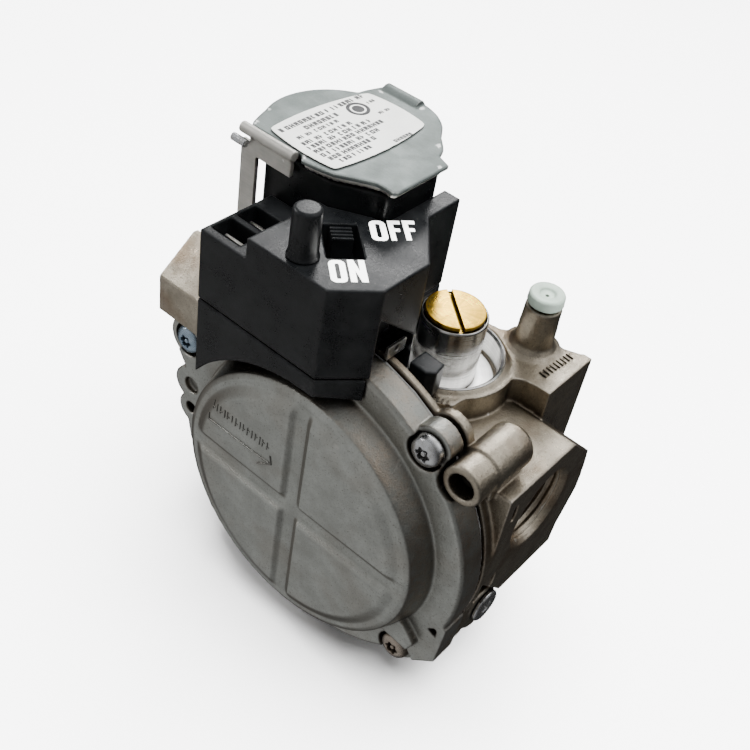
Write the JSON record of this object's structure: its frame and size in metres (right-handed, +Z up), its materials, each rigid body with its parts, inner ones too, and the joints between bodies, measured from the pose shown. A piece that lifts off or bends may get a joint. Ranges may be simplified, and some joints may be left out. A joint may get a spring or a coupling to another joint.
{
  "type": "combination gas control valve",
  "caption": "Furnace gas valve: cast body with threaded inlet and outlet, round diaphragm cover, switch housing, solenoid coil and adjustable pressure regulator.",
  "frame": {"origin": "middle of the bounding box in X and Y, at the lowest point of the round flanges", "axes": "+X along the gas flow, from inlet to outlet; +Y from the diaphragm cover back through the body; +Z up, along the regulator tower and the coil"},
  "size_m": [0.1006, 0.068, 0.1275],
  "materials": {
    "cast_aluminium": "as-cast, matt",
    "cover_aluminium": "as-cast, satin",
    "turned_aluminium": "turned, bright",
    "cap_brass": "turned, polished",
    "black_plastic": "moulded, fine grain",
    "white_plastic": "moulded, smooth",
    "plate_steel": "plated, satin",
    "label_paper": "matt, printed",
    "bracket_steel": "pressed, satin",
    "zinc_screw": "zinc plated, bright",
    "tinned_brass": "tin plated",
    "copper_wire": "enamelled winding",
    "black_rubber": "moulded, matt",
    "spring_steel": "drawn wire",
    "core_steel": "turned"
  },
  "bodies": {
    "housing": {"valve_body": "cast_aluminium", "diaphragm_cover": "cover_aluminium", "regulator_tower": "turned_aluminium", "rear_plug": "turned_aluminium", "switch_base": "black_plastic", "switch_cover": "black_plastic", "locating_post": "black_plastic", "junction_block": "black_plastic", "coil_case": "black_plastic", "vent_cap": "white_plastic", "label_plate": "plate_steel", "label": "label_paper", "yoke_bracket": "bracket_steel", "yoke_strap": "bracket_steel", "inlet_screen": "bracket_steel", "guide_tube": "bracket_steel", "cover_screw_upper_right": "zinc_screw", "cover_screw_lower_right": "zinc_screw", "cover_screw_lower_left": "zinc_screw", "cover_screw_left": "zinc_screw", "side_plug": "zinc_screw", "yoke_pin": "zinc_screw", "terminal_front": "tinned_brass", "terminal_back": "tinned_brass", "terminal_side": "tinned_brass", "contact_stud_left": "tinned_brass", "contact_stud_right": "tinned_brass", "coil_winding": "copper_wire", "diaphragm": "black_rubber", "regulator_diaphragm": "black_rubber", "main_spring": "spring_steel", "regulator_spring": "spring_steel", "plunger_spring": "spring_steel", "fixed_core": "core_steel"},
    "toggle": {"switch_toggle": "black_plastic", "contact_bridge": "tinned_brass"},
    "main_valve": {"diaphragm_plate": "bracket_steel", "valve_stem": "bracket_steel", "disc_seal": "black_rubber", "valve_disc": "bracket_steel", "stem_nut": "zinc_screw"},
    "cap": {"regulator_cap": "cap_brass", "cap_seal": "black_rubber"},
    "adjuster_seat": {"spring_seat": "bracket_steel"},
    "adjuster": {"adjusting_screw": "white_plastic"},
    "poppet": {"regulator_poppet": "turned_aluminium"},
    "plunger": {"plunger": "core_steel", "plunger_seal": "black_rubber"},
    "tap": {"tap_screw": "zinc_screw"}
  },
  "joints": [
    {"name": "switch_slide", "type": "slide", "parent": "housing", "child": "toggle", "axis": [0.7563, -0.6542, 0], "range_m": [0, 0.006]},
    {"name": "main_valve_lift", "type": "slide", "parent": "housing", "child": "main_valve", "axis": [0, 1, 0], "range_m": [0, 0.0035], "stiffness_N_per_m": 300, "springref_m": -0.004, "deforming": ["main_spring"]},
    {"name": "cap_turn", "type": "hinge", "parent": "housing", "child": "cap", "pos_m": [0.0134, 0.0075, 0.091], "axis": [0, 0, 1], "continuous": true},
    {"name": "adjuster_travel", "type": "slide", "parent": "housing", "child": "adjuster_seat", "axis": [0, 0, 1], "range_m": [-0.0015, 0], "deforming": ["regulator_spring"]},
    {"name": "adjuster_turn", "type": "hinge", "parent": "adjuster_seat", "child": "adjuster", "pos_m": [0.0134, 0.0075, 0.083], "axis": [0, 0, 1], "range_deg": [-720, 0]},
    {"name": "poppet_lift", "type": "slide", "parent": "housing", "child": "poppet", "axis": [0, 0, 1], "range_m": [0, 0.0008], "stiffness_N_per_m": 200, "springref_m": -0.002},
    {"name": "plunger_lift", "type": "slide", "parent": "housing", "child": "plunger", "axis": [0, 0, 1], "range_m": [0, 0.0025], "stiffness_N_per_m": 120, "springref_m": -0.004, "deforming": ["plunger_spring"]},
    {"name": "tap_turn", "type": "hinge", "parent": "housing", "child": "tap", "pos_m": [0.0422, -0.017, 0.0792], "axis": [0, 1, 0], "range_deg": [-360, 0]}
  ],
  "couplings": [
    {"joint": "adjuster_turn", "follows": "adjuster_travel", "rad_per_m": 8377.6}
  ]
}
